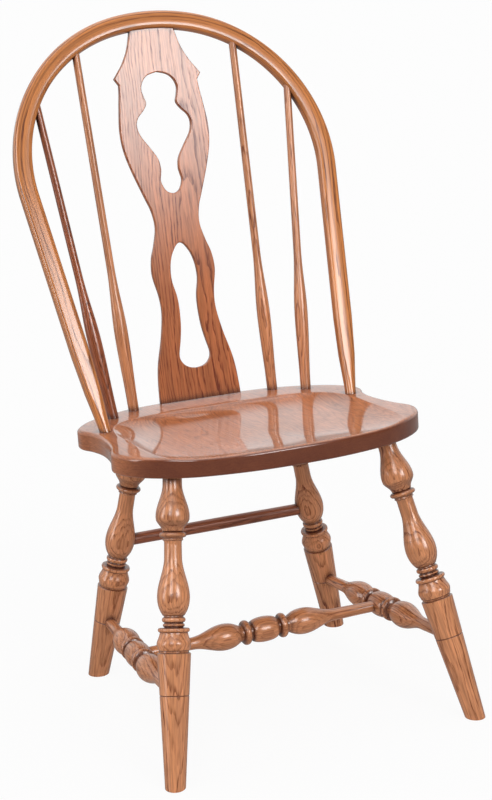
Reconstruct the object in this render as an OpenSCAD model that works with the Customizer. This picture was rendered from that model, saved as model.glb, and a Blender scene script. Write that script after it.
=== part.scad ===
// Fiddle back dining chair in solid oak: a scooped seat on four turned legs,
// a bent bow over four spindles, and a pierced splat shaped like a fiddle.
// Millimetres, +Z up, the floor at Z 0, the front of the chair toward -Y.

/* [Seat] */
// Height of the seat's rim over the floor, halfway along the chair
seat_h = 450.8; // [400:0.1:500]
// Thickness of the seat at its rim
seat_t = 31; // [28:1:40]
// Slope of the seat down to the back, in degrees
seat_slope = 3.5; // [0:0.5:5]
// Width of the seat at its front corners
seat_w = 504; // [490:1:560]
// Distance from the middle of the chair forward to the seat's front edge
seat_front = 245.5; // [240:1:280]
// Distance from the middle of the chair back to the seat's back edge
seat_back = 175.5; // [172:1:200]
// How far the saddle is scooped below the rim
saddle_depth = 12; // [4:0.5:14]
// Distance from the saddle's middle to its side rim
saddle_side = 206; // [190:1:215]
// Distance from the saddle's middle to its back rim
saddle_back = 163; // [140:1:166]
// Distance from the saddle's middle to where it would end past the seat's front
saddle_front = 186; // [182:1:230]
// Distance from the middle of the chair forward to the saddle's middle
saddle_centre = 66.5; // [60:1:80]
// Radius of the seat's eased edges
edge_r = 6; // [2:0.5:9]
// Width of each inner board of the seat
board_w = 104; // [100:1:106]

/* [Legs] */
// Sideways distance from the middle to a front leg, under the seat
front_top_x = 175.4; // [174:0.1:182]
// Forward distance from the middle to a front leg, under the seat
front_top_y = 164.2; // [150:0.1:175]
// Sideways distance from the middle to a front foot
front_foot_x = 249.4; // [210:0.1:270]
// Forward distance from the middle to a front foot
front_foot_y = 306.5; // [240:1:330]
// Sideways distance from the middle to a rear leg, under the seat
rear_top_x = 135.4; // [125:0.1:138]
// Backward distance from the middle to a rear leg, under the seat
rear_top_y = 104.8; // [90:0.1:112]
// Sideways distance from the middle to a rear foot
rear_foot_x = 219.1; // [180:0.1:240]
// Backward distance from the middle to a rear foot
rear_foot_y = 136.1; // [120:0.1:190]
// Diameter of a leg where it enters the seat
neck_d = 28.8; // [24:0.2:32]
// Diameter of a leg at its upper vase
upper_vase_d = 50.4; // [40:0.2:56]
// Diameter of a leg at its lower vase
lower_vase_d = 48.4; // [40:0.2:56]
// Diameter of a leg at its thickest collar
collar_d = 51; // [44:0.2:56]
// Diameter of a leg at the floor
foot_d = 30.6; // [24:0.2:36]
// Depth of a leg's tenon in the seat
leg_tenon = 15; // [10:0.5:16]

/* [Stretchers] */
// Distance down a leg's axis from the seat to the side stretcher
side_drop = 326.4; // [310:0.2:340]
// Distance down a rear leg's axis from the seat to the rear stretcher
rear_drop = 186.4; // [170:0.2:196]
// How far the side stretcher's ball lies behind its middle
ball_shift = 2; // [0:1:20]
// Diameter of a turned stretcher at its ends
stretcher_end_d = 18; // [14:0.2:20]
// Diameter of a turned stretcher at its bulbs
stretcher_bulb_d = 42.6; // [36:0.2:46]
// Diameter of a turned stretcher's middle ball
stretcher_ball_d = 41; // [38:0.2:44]
// Diameter of a turned stretcher's rings
stretcher_ring_d = 40; // [34:0.2:42]
// Diameter of the plain rear stretcher at its ends
rear_stretcher_d = 19.4; // [16:0.2:22]
// Gap between a stretcher's end and the axis of what holds it
end_gap = 5; // [3:0.5:8]

/* [Bow] */
// Backward lean of the bow, in degrees
bow_lean = 24.9; // [20:0.1:26]
// Distance from the middle of the chair back to the bow's feet
bow_y = 27.5; // [15:1:40]
// Half the distance between the bow's feet, at the seat's rim
bow_half = 213; // [206:0.2:216]
// Half the bow's greatest width, along its middle line
bow_wide = 261.6; // [250:0.2:275]
// Height of the bow's top up its plane, from the seat's rim, along its middle line
bow_top = 668; // [640:0.5:700]
// Radius of the bow's flatter crown, along its middle line
crown_r = 312; // [265:1:340]
// Angle from the bow's top to each end of its crown, in degrees
crown_half = 11.5; // [11:0.5:20]
// Width of the bow's section, across the hoop
bow_w = 29.8; // [26:0.2:32]
// Thickness of the bow's section, front to back
bow_t = 19; // [17:0.5:24]
// Diameter of the bow's feet where they enter the seat
bow_foot_d = 18.4; // [15:0.2:20]
// Length of the taper at each foot of the bow
bow_taper = 128; // [80:1:180]
// Depth of the bow's tenons below the seat's rim
bow_tenon = 21; // [18:0.5:23]

/* [Spindles] */
// Sideways distances from the middle to the outer and inner spindles, at the seat
spindle_x = [171, 124.2]; // [110:0.2:180]
// Backward distances from the middle to the outer and inner spindles, at the seat
spindle_y = [113.2, 147]; // [90:0.5:150]
// Heights up the bow's plane at which the outer and inner spindles end
spindle_rise = [528, 615.5]; // [500:0.5:640]
// Diameter of a spindle at the seat
spindle_foot_d = 17.4; // [15:0.2:19]
// Diameter of a spindle at its swell
spindle_swell_d = 22.4; // [18:0.2:25]
// Height up a spindle to the middle of its swell
spindle_swell_at = 124; // [100:1:150]
// Diameter of a spindle above its swell
spindle_slim_d = 13; // [11:0.2:16]
// Height up a spindle at which it has slimmed down
spindle_slim_at = 235; // [210:1:260]
// Diameter of a spindle at the bow
spindle_top_d = 12.4; // [10:0.2:15]
// Depth of a spindle's tenons
spindle_tenon = 13; // [10:0.5:15]

/* [Splat] */
// Distance from the middle of the chair back to the splat's front, at the seat
splat_y = 159.2; // [150:0.1:161]
// Backward lean of the splat, in degrees
splat_lean = 13.25; // [12:0.05:14]
// Thickness of the splat
splat_t = 8.5; // [7:0.5:9]
// Depth of the splat's tongue below the seat's rim
splat_tongue = 13; // [10:0.5:16]
// How far the splat's top reaches up past the bow's lower edge
splat_reach = 12; // [8:0.5:14]
// Scale of the splat's width
splat_width = 1; // [0.9:0.01:1.06]

/* [Fit] */
// Clearance round every tenon
fit = 0.1; // [0.05:0.05:0.2]

/* [Hidden] */
$fn = 48;
big = 900;

// Half of the seat's outline from front to back, as shares of the half width and of
// the distances to the front and back edges.
seat_shape = [[0, -1], [0.254, -0.988], [0.476, -0.947], [0.659, -0.887], [0.825, -0.781], [0.944, -0.648],
              [1, -0.482], [0.952, -0.308], [0.925, -0.142], [0.92, 0], [0.94, 0.172], [0.976, 0.328],
              [0.952, 0.489], [0.821, 0.707], [0.563, 0.908], [0.294, 0.977], [0, 1]];

// Half of the splat's outline, as heights above the seat's rim and half widths, in two
// smooth runs that meet at the ear's point.
splat_side = [[-20, 72.4], [0, 71.8], [40, 69.4], [69, 64.9], [107.5, 54.7], [147, 47.7], [177, 48.7], [212, 55.3],
              [240, 53], [263, 45.5], [291, 39], [318, 42], [344.5, 51.4], [389, 67], [424, 75.8], [456, 77.5],
              [491, 73.6], [515, 70.2], [529, 69]];
splat_ear = [539.5, 76];
splat_neck = [[561, 60], [584.5, 47.7], [614.5, 39.3], [640, 36], [668, 34]];

// Half outlines of the two piercings, bottom to top, in the same way.
keyhole = [[344.5, 0], [346.5, 7.5], [353, 14], [366, 18.7], [377, 17], [387, 15.7], [404, 18.8], [423.5, 30.6],
           [444, 43.8], [460.5, 47.5], [473, 43.4], [484.5, 32.6], [495.5, 26.4], [508, 29.4], [520, 31.4], [532, 27.4],
           [541.5, 17.5], [546.5, 0]];
bottle = [[52, 0], [54.5, 13], [62, 23], [75, 27.6], [100, 22.3], [123, 18.4], [151, 16.8], [174, 18], [200, 23.2],
          [222, 22.6], [240, 18.2], [251, 12.6], [258, 7.6], [261.4, 3], [261.8, 0]];

oak = "#b8733d";
oak_pale = "#c9864c";

// Smooth curves and turned profiles

function blend(a, b, c, d, t) = 0.5 * (2 * b + (c - a) * t + (2 * a - 5 * b + 4 * c - d) * t * t
                                       + (3 * b - a - 3 * c + d) * t * t * t);

// A smooth open curve through the points, with n steps to a span
function curve(p, n) = [for (i = [0 : len(p) - 2], k = [0 : n - 1])
    blend(p[max(i - 1, 0)], p[i], p[i + 1], p[min(i + 2, len(p) - 1)], k / n), p[len(p) - 1]];

// A smooth closed curve through the points
function loop(p, n) = [for (i = [0 : len(p) - 1], k = [0 : n - 1])
    blend(p[(i + len(p) - 1) % len(p)], p[i], p[(i + 1) % len(p)], p[(i + 2) % len(p)], k / n)];

function mirrored(p) = [for (q = p) [-q[0], q[1]]];
function reversed(p) = [for (i = [len(p) - 1 : -1 : 0]) p[i]];

// Turned work is a list of [distance along the axis, radius]. A sweep eases from one
// radius to the next, and a bead swells by a height over its ends.
function sweep(d0, r0, d1, r1, n = 8) = [for (i = [1 : n])
    [d0 + (d1 - d0) * i / n, r0 + (r1 - r0) * (1 - cos(180 * i / n)) / 2]];
function bead(d0, d1, r, rise, n = 8) = [for (i = [0 : n])
    [(d0 + d1) / 2 - (d1 - d0) / 2 * cos(180 * i / n), r + rise * sin(180 * i / n)]];

module turned(profile) {
    first = profile[0];
    last = profile[len(profile) - 1];
    rotate_extrude()
        polygon(concat([[0, first[0]]], [for (q = profile) [q[1], q[0]]], [[0, last[0]]]));
}

// Draws its children with their +Z from a toward b
module along(a, b) {
    v = b - a;
    translate(a) rotate([0, acos(v[2] / norm(v)), atan2(v[1], v[0])]) children();
}

function toward(a, b, d) = a + (b - a) / norm(b - a) * d;
function mirror_x(p) = [-p[0], p[1], p[2]];

// The seat

half_w = seat_w / 2;
rim_fall = tan(seat_slope);

function rim_z(y) = seat_h - rim_fall * y;
function under_z(y) = rim_z(y) - seat_t / cos(seat_slope);

// Place in the saddle: 0 at its middle and 1 at its rim
function saddle_share(x, y) = let (v = y + saddle_centre)
    pow(pow(abs(x) / saddle_side, 4) + pow(abs(v) / (v < 0 ? saddle_front : saddle_back), 4), 1 / 4);

// Depth of the saddle below the rim at a place in the seat's own plane. It falls away
// steeply inside the back rim and runs out gently to the front edge.
function saddle_power(x, y) = 6 + 4 * sin(atan2(y + saddle_centre, abs(x) + 0.001));
function saddle(x, y) = let (s = saddle_share(x, y)) s < 1 ? saddle_depth * (1 - pow(s, saddle_power(x, y))) : 0;

seat_half = [for (q = seat_shape) [q[0] * half_w, q[1] * (q[1] < 0 ? seat_front : seat_back)]];
inner_points = [for (i = [1 : len(seat_half) - 2]) seat_half[i]];
seat_outline = loop(concat([seat_half[0]], inner_points, [seat_half[len(seat_half) - 1]],
                           reversed(mirrored(inner_points))), 3);
seat_n = len(seat_outline);

// The outline moved in by a distance, square to its edge
function inset(i, d) = let (a = seat_outline[(i + seat_n - 1) % seat_n], b = seat_outline[(i + 1) % seat_n],
                            v = (b - a) / norm(b - a)) seat_outline[i] + d * [-v[1], v[0]];

// Rings of the seat's skin: over the bottom edge, up the side and over the top edge, as
// [inset, height], and then shares of the way from the saddle's middle to its rim
under_r = edge_r * 0.7;
edge_rings = concat(
    [for (a = [0 : 30 : 90]) [under_r * (1 - sin(a)), -seat_t + under_r * (1 - cos(a))]],
    [for (a = [0 : 22.5 : 90]) [edge_r * (1 - cos(a)), -edge_r * (1 - sin(a))]]);
saddle_rings = [1, 0.985, 0.96, 0.93, 0.89, 0.84, 0.77, 0.66, 0.5, 0.32, 0.15];
seat_middle = [0, -saddle_centre];

function edge_point(ring, i) = let (p = inset(i, ring[0]))
    [p[0], p[1], ring[1] - (ring[1] > -edge_r - 1 ? saddle(p[0], p[1]) : 0)];
function saddle_point(share, i) = let (v = inset(i, edge_r + 0.5) - seat_middle,
                                       p = seat_middle + v * share * min(1, 1 / saddle_share(v[0], v[1] - saddle_centre)))
    [p[0], p[1], -saddle(p[0], p[1])];

module seat_blank() {
    rings = len(edge_rings) + len(saddle_rings);
    points = concat([for (r = edge_rings, i = [0 : seat_n - 1]) edge_point(r, i)],
                    [for (k = saddle_rings, i = [0 : seat_n - 1]) saddle_point(k, i)],
                    [[seat_middle[0], seat_middle[1], -seat_t],
                     [seat_middle[0], seat_middle[1], -saddle(seat_middle[0], seat_middle[1])]]);
    low = rings * seat_n;
    top = low + 1;
    last = (rings - 1) * seat_n;
    sides = [for (r = [0 : rings - 2], i = [0 : seat_n - 1])
        let (a = r * seat_n + i, b = r * seat_n + (i + 1) % seat_n) each [[b, a, a + seat_n], [b, a + seat_n, b + seat_n]]];
    ends = [for (i = [0 : seat_n - 1]) let (j = (i + 1) % seat_n) each [[low, i, j], [top, last + j, last + i]]];
    polyhedron(points, concat(sides, ends));
}

// Sits its children in the seat's own plane, the rim at their Z 0
module on_seat() {
    translate([0, 0, seat_h]) rotate([-seat_slope, 0, 0]) children();
}

function seat_surface(x, y) = [x, y, rim_z(y) - saddle(x, y)];

// The legs

neck_r = neck_d / 2;
upper_r = upper_vase_d / 2;
lower_r = lower_vase_d / 2;
collar_r = collar_d / 2;
foot_r = foot_d / 2;

front_top = [front_top_x, -front_top_y, under_z(-front_top_y)];
front_foot = [front_foot_x, -front_foot_y, 0];
rear_top = [rear_top_x, rear_top_y, under_z(rear_top_y)];
rear_foot = [rear_foot_x, rear_foot_y, 0];
leg_length = norm(front_top - front_foot);

// Radius of a leg's lower taper at a distance below the seat
taper_start = 265.6;
taper_top_r = collar_r - 0.6;
function taper_r(d) = taper_top_r + (foot_r - taper_top_r) * (d - taper_start) / (leg_length - taper_start);

// From the seat down: the upper vase, a bead, the lower vase, two small beads, a ring
// and a collar, and the long taper to the floor
leg_profile = concat(
    [[-leg_tenon, neck_r], [18, neck_r]],
    sweep(18, neck_r, 66, upper_r, 9), sweep(68, upper_r, 87.4, upper_r - 9.6, 7), [[88, neck_r]],
    bead(88.8, 96.8, neck_r + 1, upper_r - neck_r - 6, 6), [[98, neck_r + 0.2], [100.4, neck_r + 0.9]],
    [[101.4, neck_r - 0.8], [103, neck_r - 1.4]],
    sweep(124, neck_r - 1.3, 184, lower_r, 12),
    [for (q = [[190, 0.4], [196, 1.5], [201, 3.1], [205, 4.9], [208.4, 6.9], [210.4, 8.2]]) [q[0], lower_r - q[1]]],
    [[211.2, neck_r], [212.4, neck_r]],
    bead(213, 220.2, neck_r + 0.4, 2.6, 5), [[221, neck_r - 0.6]], bead(222, 227, neck_r - 0.2, 2, 4),
    [[228, neck_r - 0.4]], bead(228.6, 234.4, upper_r - 3.6, 1.9, 5), [[235.2, upper_r - 4.6], [236.6, upper_r - 4.4]],
    sweep(236.6, upper_r - 4, 252, collar_r, 7), sweep(252, collar_r, 260.6, collar_r - 2, 3),
    [[261.6, collar_r - 3.4], [264, collar_r - 3.4]],
    [[taper_start - 0.8, taper_top_r - 0.8], [taper_start, taper_top_r]],
    [[side_drop - 1, taper_r(side_drop - 1)], [side_drop, taper_r(side_drop) - 0.9],
     [side_drop + 1, taper_r(side_drop + 1)]],
    [[leg_length + 40, taper_r(leg_length + 40)]]);

module leg_blank(top, foot) {
    difference() {
        along(top, foot) rotate([0, 0, 90]) turned(leg_profile);
        translate([-big / 2, -big / 2, -100]) cube([big, big, 100]);
    }
}

// A leg's tenon, grown by the clearance, as the socket that it needs
module leg_socket(top, foot) {
    along(top, foot) translate([0, 0, -leg_tenon]) cylinder(r = neck_r + fit, h = leg_tenon + 30);
}

// The stretchers

end_r = stretcher_end_d / 2;
bulb_r = stretcher_bulb_d / 2;
ball_r = stretcher_ball_d / 2;
ring_r = stretcher_ring_d / 2;
rear_r = rear_stretcher_d / 2;

side_front = toward(front_top, front_foot, side_drop);
side_rear = toward(rear_top, rear_foot, side_drop);
side_length = norm(side_front - side_rear);
ball_at = side_length / 2 - ball_shift;
middle_end = toward(side_rear, side_front, ball_at);
middle_length = 2 * middle_end[0];
rear_end = toward(rear_top, rear_foot, rear_drop);

// One half of a turned stretcher, from its end to its middle at m: a slim end, a bulb,
// a ring between two grooves, and half of the ball
groove_r = 13.2;
function half_turning(m) = concat(
    [[end_gap, end_r], [32, end_r]],
    sweep(32, end_r, m - 124, end_r + 0.8, 4), sweep(m - 124, end_r + 0.8, m - 69, bulb_r, 10),
    [for (q = [[63, 0.4], [58, 1.2], [53, 2.6], [48.6, 4.6], [45, 6.4], [43, 7.7]]) [m - q[0], bulb_r - q[1]]],
    [[m - 42, groove_r], [m - 38.6, groove_r]], bead(m - 37.4, m - 26.2, 15.6, ring_r - 15.6, 7),
    [[m - 25, groove_r], [m - 23.2, groove_r]], bead(m - 22.4, m + 22.4, groove_r + 0.4, ball_r - groove_r - 0.4, 14));

// A turned stretcher whose ball lies at m from its start
function turning(m, length) = let (a = half_turning(m), b = half_turning(length - m))
    concat([for (q = a) if (q[0] <= m) q],
           reversed([for (q = b) if (q[0] < length - m - 0.5) [length - q[0], q[1]]]));

// The hole that a round stretcher end needs, from the axis of what holds it
module end_socket(from, to, r) {
    along(from, to) translate([0, 0, end_gap]) cylinder(r = r + fit, h = 50);
}

module leg_front() {
    difference() {
        leg_blank(front_top, front_foot);
        end_socket(side_front, side_rear, end_r);
    }
}

module leg_rear() {
    difference() {
        leg_blank(rear_top, rear_foot);
        end_socket(side_rear, side_front, end_r);
        end_socket(rear_end, mirror_x(rear_end), rear_r);
    }
}

module stretcher_side() {
    difference() {
        along(side_rear, side_front) turned(turning(ball_at, side_length));
        end_socket(middle_end, mirror_x(middle_end), end_r);
    }
}

module stretcher_middle() {
    color(oak) along(mirror_x(middle_end), middle_end) turned(turning(middle_length / 2, middle_length));
}

module stretcher_rear() {
    length = 2 * rear_end[0];
    color(oak) along(mirror_x(rear_end), rear_end)
        turned(concat([[end_gap, rear_r], [34, rear_r]], sweep(34, rear_r, length / 2, rear_r + 0.6, 4),
                      sweep(length / 2, rear_r + 0.6, length - 34, rear_r, 4), [[length - end_gap, rear_r]]));
}

// The bow: two straight sides, two round shoulders and a flatter crown, each running
// smoothly into the next, all in one leaning plane

// Each shoulder's radius and centre, from where it meets the crown and how far out it reaches
crown_edge = sin(crown_half);
shoulder_r = (bow_wide - crown_r * crown_edge) / (1 - crown_edge);
shoulder_x = (crown_r - shoulder_r) * crown_edge;
crown_h = bow_top - crown_r;
shoulder_h = crown_h + (crown_r - shoulder_r) * cos(crown_half);
shoulder_inner_r = shoulder_r - bow_w / 2;
foot_reach = norm([bow_half - shoulder_x, shoulder_h]);
side_len = sqrt(foot_reach * foot_reach - shoulder_r * shoulder_r);
// Angle below the level at which the sides leave the shoulders, and so their outward lean
side_angle = atan2(shoulder_h, bow_half - shoulder_x) - acos(shoulder_r / foot_reach);

// Draws its children in the bow's plane: their X across, Y up the plane, Z to the back
module in_bow() {
    translate([0, bow_y, rim_z(bow_y)]) rotate([-bow_lean, 0, 0]) rotate([90, 0, 0]) mirror([0, 0, 1]) children();
}

// A place in the bow's plane, in the chair's frame
function bow_point(x, h) = [x, bow_y + h * sin(bow_lean), rim_z(bow_y) + h * cos(bow_lean)];

// The bow's section, a rectangle with full rounded corners
function section(w, t, n = 28) = [for (i = [0 : n - 1]) let (c = cos(360 * i / n), s = sin(360 * i / n))
    [sign(c) * w / 2 * pow(abs(c), 0.62), sign(s) * t / 2 * pow(abs(s), 0.62)]];

module bow_slice(share) {
    w = bow_foot_d + (bow_w - bow_foot_d) * share;
    t = bow_foot_d + (bow_t - bow_foot_d) * share;
    linear_extrude(0.02) polygon(section(w, t));
}

// One side of the bow, its axis up Z from the seat's rim, its outer edge toward +X
module bow_side() {
    translate([0, 0, -bow_tenon]) cylinder(d = bow_foot_d, h = bow_tenon + 8.01);
    hull() {
        translate([0, 0, 8]) cylinder(d = bow_foot_d, h = 0.02, $fn = 32);
        translate([0, 0, bow_taper * 0.5]) bow_slice(0.6);
    }
    hull() {
        translate([0, 0, bow_taper * 0.5]) bow_slice(0.6);
        translate([0, 0, bow_taper]) bow_slice(1);
    }
    translate([0, 0, bow_taper]) linear_extrude(side_len - bow_taper + 0.4)
        polygon(section(bow_w - 0.04, bow_t - 0.04));
}

module arc(r, from, to, w, t) {
    rotate([0, 0, from]) rotate_extrude(angle = to - from, $fn = 128) translate([r, 0]) polygon(section(w, t));
}

module bow_solid() {
    in_bow() {
        translate([0, crown_h, 0]) arc(crown_r, 89.9 - crown_half, 90.1 + crown_half, bow_w - 0.04, bow_t - 0.04);
        for (m = [0, 1]) mirror([m, 0, 0]) {
            translate([shoulder_x, shoulder_h, 0]) arc(shoulder_r, -side_angle, 90 - crown_half, bow_w, bow_t);
            translate([bow_half, 0, 0]) rotate([-90, 0, -side_angle]) bow_side();
        }
    }
}

bow_foot = bow_point(bow_half, 0);
bow_foot_up = bow_point(bow_half + 100 * sin(side_angle), 100 * cos(side_angle));

module bow_socket() {
    along(bow_foot, bow_foot_up) translate([0, 0, -bow_tenon]) cylinder(d = bow_foot_d + 2 * fit, h = bow_tenon + 20);
}

// The spindles

spindle_foot = [for (i = [0, 1]) seat_surface(spindle_x[i], spindle_y[i])];
spindle_top = [for (i = [0, 1]) let (h = spindle_rise[i] - shoulder_h)
    bow_point(shoulder_x + sqrt(shoulder_inner_r * shoulder_inner_r - h * h), spindle_rise[i])];
spindle_foot_r = spindle_foot_d / 2;
spindle_top_r = spindle_top_d / 2;
swell_r = spindle_swell_d / 2;
slim_r = spindle_slim_d / 2;
// Length of a spindle that keeps its end diameter outside each socket
foot_stub = 6;
top_stub = 12;

function spindle_profile(length) = concat(
    [[-spindle_tenon, spindle_foot_r], [foot_stub, spindle_foot_r]],
    sweep(foot_stub, spindle_foot_r, spindle_swell_at, swell_r, 7),
    sweep(spindle_swell_at, swell_r, spindle_slim_at, slim_r, 9),
    sweep(spindle_slim_at, slim_r, length - top_stub, spindle_top_r, 3),
    [[length + spindle_tenon, spindle_top_r]]);

module spindle(i) {
    along(spindle_foot[i], spindle_top[i]) turned(spindle_profile(norm(spindle_top[i] - spindle_foot[i])));
}

module spindle_foot_socket(i) {
    along(spindle_foot[i], spindle_top[i])
        translate([0, 0, -spindle_tenon]) cylinder(r = spindle_foot_r + fit, h = spindle_tenon + foot_stub + 10);
}

module spindle_top_socket(i) {
    along(spindle_top[i], spindle_foot[i])
        translate([0, 0, -spindle_tenon]) cylinder(r = spindle_top_r + fit, h = spindle_tenon + 30);
}

// The splat

// Height up the splat's face at which it meets the lower edge of the bow
splat_meet = let (dy = splat_y - bow_y, a = bow_lean, b = splat_lean)
    (bow_top - bow_w / 2) * cos(a) / cos(b) - (rim_z(splat_y) - rim_z(bow_y)) / cos(b);
splat_top = splat_meet + splat_reach;

// Draws its children on the splat's front face: X across, Y up the face, Z to the back
module in_splat() {
    translate([0, splat_y, rim_z(splat_y)]) rotate([-splat_lean, 0, 0]) rotate([90, 0, 0]) mirror([0, 0, 1]) children();
}

function pair_up(half) = concat([for (q = half) [splat_width * q[1], q[0]]],
                                [for (q = reversed(half)) [-splat_width * q[1], q[0]]]);
splat_half = concat(curve(splat_side, 3), [splat_ear], curve(splat_neck, 3));

module splat_board() {
    linear_extrude(splat_t) difference() {
        polygon(pair_up(splat_half));
        translate([-100, splat_top]) square([200, 200]);
        translate([-100, -splat_tongue - 200]) square([200, 200]);
    }
}

module splat() {
    color(oak_pale) difference() {
        in_splat() splat_board();
        in_splat() translate([0, 0, -1]) linear_extrude(splat_t + 2) {
            polygon(pair_up(curve(keyhole, 3)));
            polygon(pair_up(curve(bottle, 3)));
        }
    }
}

// Slots that house the splat's two ends, wider than it by the clearance
slot_reach = 40;
splat_end_half = splat_width * 72.4 + 0.4;
module splat_foot_slot() {
    in_splat() translate([-splat_end_half, -splat_tongue, -fit]) cube([2 * splat_end_half, slot_reach, splat_t + 2 * fit]);
}

splat_top_half = splat_width * 39.3;
module splat_top_slot() {
    in_splat() translate([-splat_top_half, splat_top - slot_reach, -fit])
        cube([2 * splat_top_half, slot_reach, splat_t + 2 * fit]);
}

// The seat's boards

board_edges = [-half_w - 5, -1.5 * board_w, -0.5 * board_w, 0.5 * board_w, 1.5 * board_w, half_w + 5];

module seat_board(i) {
    color(i % 2 == 0 ? oak : oak_pale) difference() {
        on_seat() intersection() {
            seat_blank();
            translate([board_edges[i], -big / 2, -big / 2]) cube([board_edges[i + 1] - board_edges[i], big, big]);
        }
        for (m = [0, 1]) mirror([m, 0, 0]) {
            leg_socket(front_top, front_foot);
            leg_socket(rear_top, rear_foot);
            bow_socket();
            spindle_foot_socket(0);
            spindle_foot_socket(1);
        }
        splat_foot_slot();
    }
}

module bow() {
    color(oak) difference() {
        bow_solid();
        for (m = [0, 1], i = [0, 1]) mirror([m, 0, 0]) spindle_top_socket(i);
        splat_top_slot();
    }
}

seat_board(0);  // seat_board_1
seat_board(1);  // seat_board_2
seat_board(2);  // seat_board_3
seat_board(3);  // seat_board_4
seat_board(4);  // seat_board_5
bow();
splat();
color(oak) mirror([1, 0, 0]) spindle(0);  // spindle_outer_left
color(oak) mirror([1, 0, 0]) spindle(1);  // spindle_inner_left
color(oak) spindle(1);  // spindle_inner_right
color(oak) spindle(0);  // spindle_outer_right
color(oak) mirror([1, 0, 0]) leg_front();  // leg_front_left
color(oak) leg_front();  // leg_front_right
color(oak) mirror([1, 0, 0]) leg_rear();  // leg_rear_left
color(oak) leg_rear();  // leg_rear_right
color(oak) mirror([1, 0, 0]) stretcher_side();  // stretcher_side_left
color(oak) stretcher_side();  // stretcher_side_right
stretcher_middle();
stretcher_rear();
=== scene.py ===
# %% [markdown]
# # A fiddle back chair in stained oak
#
# The chair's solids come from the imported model, already in place and in metres.
# This lesson gives them the surfaces of a real chair: boards with a scooped top,
# a bent bow, a pierced splat and turned legs, all in lacquered oak.

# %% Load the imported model
import bmesh
import bpy
import math
import numpy as np
from mathutils import Matrix, Vector


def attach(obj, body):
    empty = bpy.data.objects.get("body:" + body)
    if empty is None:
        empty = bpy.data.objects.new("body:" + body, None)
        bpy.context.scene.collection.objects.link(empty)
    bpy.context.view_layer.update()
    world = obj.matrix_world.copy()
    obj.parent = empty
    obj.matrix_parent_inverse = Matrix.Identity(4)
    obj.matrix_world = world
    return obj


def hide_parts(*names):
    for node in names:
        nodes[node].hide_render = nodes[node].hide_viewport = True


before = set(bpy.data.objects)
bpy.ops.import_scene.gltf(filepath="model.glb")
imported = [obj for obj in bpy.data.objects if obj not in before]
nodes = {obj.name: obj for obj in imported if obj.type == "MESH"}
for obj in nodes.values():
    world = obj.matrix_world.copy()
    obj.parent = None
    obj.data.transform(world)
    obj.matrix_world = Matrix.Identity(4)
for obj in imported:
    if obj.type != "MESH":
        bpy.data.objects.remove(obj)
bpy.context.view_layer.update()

# %% [markdown]
# ## The camera
#
# The photograph was taken from the chair's front left, a little above the seat, with
# a long lens. A camera can be aimed by hand, or built from its angles. Angles are
# used here, because the same numbers then place the picture's centre exactly.
# The slight roll is the camera's own tilt.

# %% Camera
FRAME_H = 800  # the photograph's height in pixels
FOCAL_PX = 1775.23  # the focal length, in pixels too
SENSOR = 36  # the height of the film, in mm
DISTANCE = 2.72375  # from the aimed point to the lens, in metres
AZIMUTH, ELEVATION, ROLL = (math.radians(a) for a in (-22.387, 15.249, -2.622))
SLIDE = (-0.02859, 0.05109)  # a small step to the right and up, in metres
SHIFT_PX = (1.466, -1.088)  # the framing's last small shift, in pixels
AIM = Vector((0, -0.1115, 0.45))

back = Vector((math.sin(AZIMUTH) * math.cos(ELEVATION), -math.cos(AZIMUTH) * math.cos(ELEVATION),
               math.sin(ELEVATION)))
level_right = (-back).cross(Vector((0, 0, 1))).normalized()
level_up = level_right.cross(-back)
right = math.cos(ROLL) * level_right + math.sin(ROLL) * level_up
up = math.cos(ROLL) * level_up - math.sin(ROLL) * level_right

lens = bpy.data.cameras.new("camera")
lens.sensor_fit = "VERTICAL"
lens.sensor_height = SENSOR
lens.lens = SENSOR * FOCAL_PX / FRAME_H
lens.shift_x = -SHIFT_PX[0] / FRAME_H
lens.shift_y = SHIFT_PX[1] / FRAME_H
camera = bpy.data.objects.new("camera", lens)
bpy.context.scene.collection.objects.link(camera)
stand = Matrix((right, up, back)).transposed().to_4x4()
stand.translation = AIM + back * DISTANCE + right * SLIDE[0] + up * SLIDE[1]
camera.matrix_world = stand
bpy.context.scene.camera = camera
print("camera at", [round(v, 3) for v in stand.translation], "lens", round(lens.lens, 1), "mm")

# %% [markdown]
# ## Helpers for materials
#
# A colour is written as the hex value a painter would pick on a screen, and one
# function turns it to the linear values that the renderer works in. A second
# function adds a node, fills its settings and inputs, and gives back an output, and
# a third empties a material or a world for its new nodes.

# %% Colour and node helpers
def linear(hex_colour):
    """The standard screen curve undone, for red, green and blue, and a full alpha."""
    parts = [int(hex_colour[i:i + 2], 16) / 255 for i in (1, 3, 5)]
    return [p / 12.92 if p <= 0.04045 else ((p + 0.055) / 1.055) ** 2.4 for p in parts] + [1]


def add(tree, kind, inputs=None, out=0, **settings):
    """Add a node with its settings, link or set its inputs, and give back one output."""
    node = tree.nodes.new(kind if kind.startswith("NodeGroup") else "ShaderNode" + kind)
    for key, value in settings.items():
        setattr(node, key, value)
    for key, value in (inputs or {}).items():
        if isinstance(value, bpy.types.NodeSocket):
            tree.links.new(value, node.inputs[key])
        else:
            node.inputs[key].default_value = value
    return node.outputs[out] if node.outputs else node


def empty_tree(owner):
    owner.use_nodes = True
    owner.node_tree.nodes.clear()
    return owner.node_tree


# Inputs 1 to 4 of a map range are the range that it reads and the range that it gives
EASED = {"interpolation_type": "SMOOTHSTEP"}
# Inputs 0, 6 and 7 of a colour mix are its share and its two colours, and its colour is output 2
COLOUR_MIX = {"data_type": "RGBA"}
print("a mid oak in linear light:", [round(v, 3) for v in linear("#a5653c")])

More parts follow.
